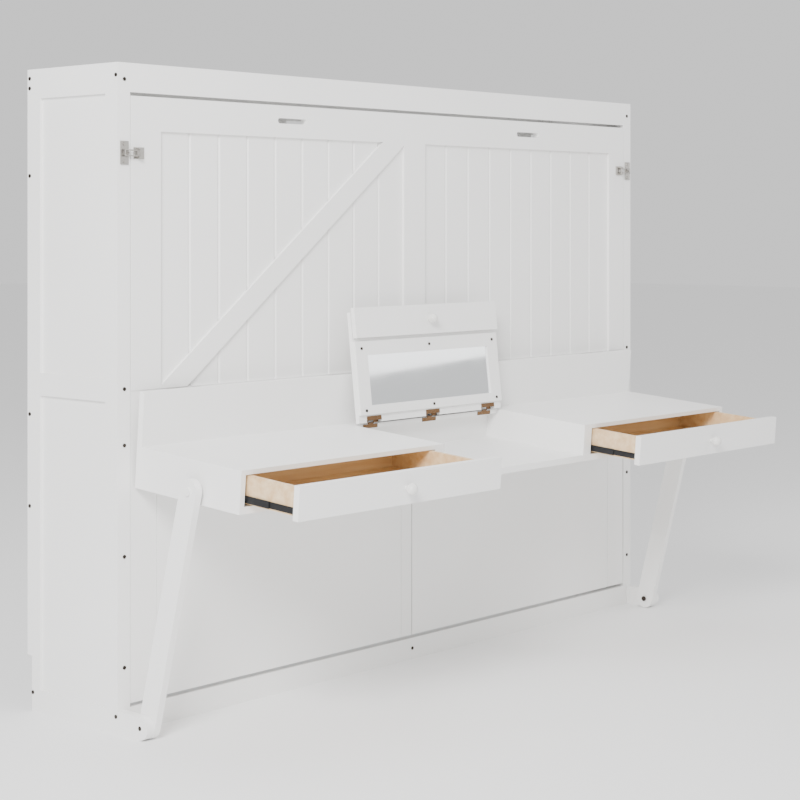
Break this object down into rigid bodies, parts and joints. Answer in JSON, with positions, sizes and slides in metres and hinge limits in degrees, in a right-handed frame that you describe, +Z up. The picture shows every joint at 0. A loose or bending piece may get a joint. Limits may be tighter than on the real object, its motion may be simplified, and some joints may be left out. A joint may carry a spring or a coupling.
{
  "type": "murphy wall bed",
  "caption": "Horizontal wall bed with a fold-down desk, two drawers and a mirrored vanity lid.",
  "frame": {"origin": "on the floor, middle of the width, in the cabinet's front plane", "axes": "+X along the width, +Y to the wall, +Z up"},
  "size_m": [2.247, 1.0015, 1.7],
  "materials": {
    "paint": "satin white paint",
    "pine": "clear satin",
    "black_steel": "black coated",
    "bronze": "antique bronze",
    "knob": "white gloss",
    "dark_steel": "black oxide",
    "nickel": "brushed nickel",
    "mirror": "silvered mirror"
  },
  "bodies": {
    "cabinet": {"front_posts": "paint", "back_posts": "paint", "foot_brackets": "paint", "side_panels": "paint", "side_rails_left": "paint", "side_rails_right": "paint", "bed_pivot_studs": "nickel", "foot_pivot_pins": "dark_steel", "latch_catches": "nickel", "cap": "paint", "header_rail": "paint", "plinth": "paint", "wall_rails": "paint", "cabinet_bolts": "dark_steel"},
    "bed": {"bed_face_top_rail": "paint", "bed_stiles": "paint", "beadboards": "paint", "bed_brace": "paint", "bed_lower_panels": "paint", "bed_long_rails": "paint", "bed_end_rail_left": "paint", "bed_end_rail_right": "paint", "bed_centre_beam": "paint", "bed_slats": "paint", "latch_keepers": "nickel", "desk_hinge_bed_leaves": "nickel"},
    "desk": {"desk_bottom": "paint", "desk_backsplash": "paint", "desk_hinge_pins": "nickel", "desk_end_panels": "paint", "desk_dividers": "paint", "desk_tops": "paint", "desk_leg_inserts": "nickel", "slide_fixed_members": "black_steel", "desk_rear_strip": "paint", "lid_hinge_fixed_leaves": "bronze"},
    "leg_left": {"leg_left": "paint", "leg_bolt_left": "dark_steel"},
    "leg_right": {"leg_right": "paint", "leg_bolt_right": "dark_steel"},
    "drawer_left": {"drawer_box_left": "pine", "drawer_front_left": "paint", "drawer_knob_left": "knob", "slide_drawer_members_left": "black_steel"},
    "drawer_right": {"drawer_box_right": "pine", "drawer_front_right": "paint", "drawer_knob_right": "knob", "slide_drawer_members_right": "black_steel"},
    "slide_middle_left": {"slide_middle_members_left": "black_steel"},
    "slide_middle_right": {"slide_middle_members_right": "black_steel"},
    "lid": {"lid_board": "paint", "mirror_frame": "paint", "mirror_glass": "mirror", "mirror_frame_screws": "dark_steel", "lid_hinge_moving_leaves": "bronze", "fascia_hinges": "bronze"},
    "fascia": {"lid_fascia": "paint", "fascia_knob": "knob"},
    "latch_left": {"latch_bail_left": "nickel"},
    "latch_right": {"latch_bail_right": "nickel"}
  },
  "joints": [
    {"name": "bed_fold", "type": "hinge", "parent": "cabinet", "child": "bed", "pos_m": [0, 0.066, 0.326], "axis": [1, 0, 0], "range_deg": [0, 90]},
    {"name": "desk_level", "type": "hinge", "parent": "bed", "child": "desk", "pos_m": [0, -0.01394, 0.85891], "axis": [1, 0, 0], "range_deg": [-94.4, 0]},
    {"name": "lid_hinge", "type": "hinge", "parent": "desk", "child": "lid", "pos_m": [0, -0.06781, 0.72488], "axis": [1, 0, 0], "range_deg": [0, 101]},
    {"name": "fascia_hinge", "type": "hinge", "parent": "lid", "child": "fascia", "pos_m": [0, -0.04677, 1.04156], "axis": [1, 0, 0], "range_deg": [-90, 0]},
    {"name": "leg_swing_left", "type": "hinge", "parent": "cabinet", "child": "leg_left", "pos_m": [-1.0895, -0.086, 0.031], "axis": [1, 0, 0], "range_deg": [0, 74.81]},
    {"name": "drawer_slide_left", "type": "slide", "parent": "desk", "child": "drawer_left", "axis": [0, -0.9971, -0.0767], "range_m": [-0.182, 0.07]},
    {"name": "slide_middle_left", "type": "slide", "parent": "desk", "child": "slide_middle_left", "axis": [0, -0.9971, -0.0767], "range_m": [-0.091, 0.035]},
    {"name": "latch_swing_left", "type": "hinge", "parent": "bed", "child": "latch_left", "pos_m": [-1.056, -0.009, 1.471], "axis": [0, 0, 1], "range_deg": [0, 100]},
    {"name": "leg_swing_right", "type": "hinge", "parent": "cabinet", "child": "leg_right", "pos_m": [1.0895, -0.086, 0.031], "axis": [1, 0, 0], "range_deg": [0, 74.81]},
    {"name": "drawer_slide_right", "type": "slide", "parent": "desk", "child": "drawer_right", "axis": [0, -0.9971, -0.0767], "range_m": [-0.182, 0.07]},
    {"name": "slide_middle_right", "type": "slide", "parent": "desk", "child": "slide_middle_right", "axis": [0, -0.9971, -0.0767], "range_m": [-0.091, 0.035]},
    {"name": "latch_swing_right", "type": "hinge", "parent": "bed", "child": "latch_right", "pos_m": [1.056, -0.009, 1.471], "axis": [0, 0, -1], "range_deg": [0, 100]}
  ],
  "couplings": [
    {"joint": "desk_level", "follows": "bed_fold", "ratio": -1.0489},
    {"joint": "lid_hinge", "follows": "bed_fold", "ratio": 1.1222},
    {"joint": "fascia_hinge", "follows": "bed_fold", "ratio": -1},
    {"joint": "leg_swing_left", "follows": "bed_fold", "ratio": 0.83118},
    {"joint": "slide_middle_left", "follows": "drawer_slide_left", "ratio": 0.5},
    {"joint": "leg_swing_right", "follows": "bed_fold", "ratio": 0.83118},
    {"joint": "slide_middle_right", "follows": "drawer_slide_right", "ratio": 0.5}
  ]
}
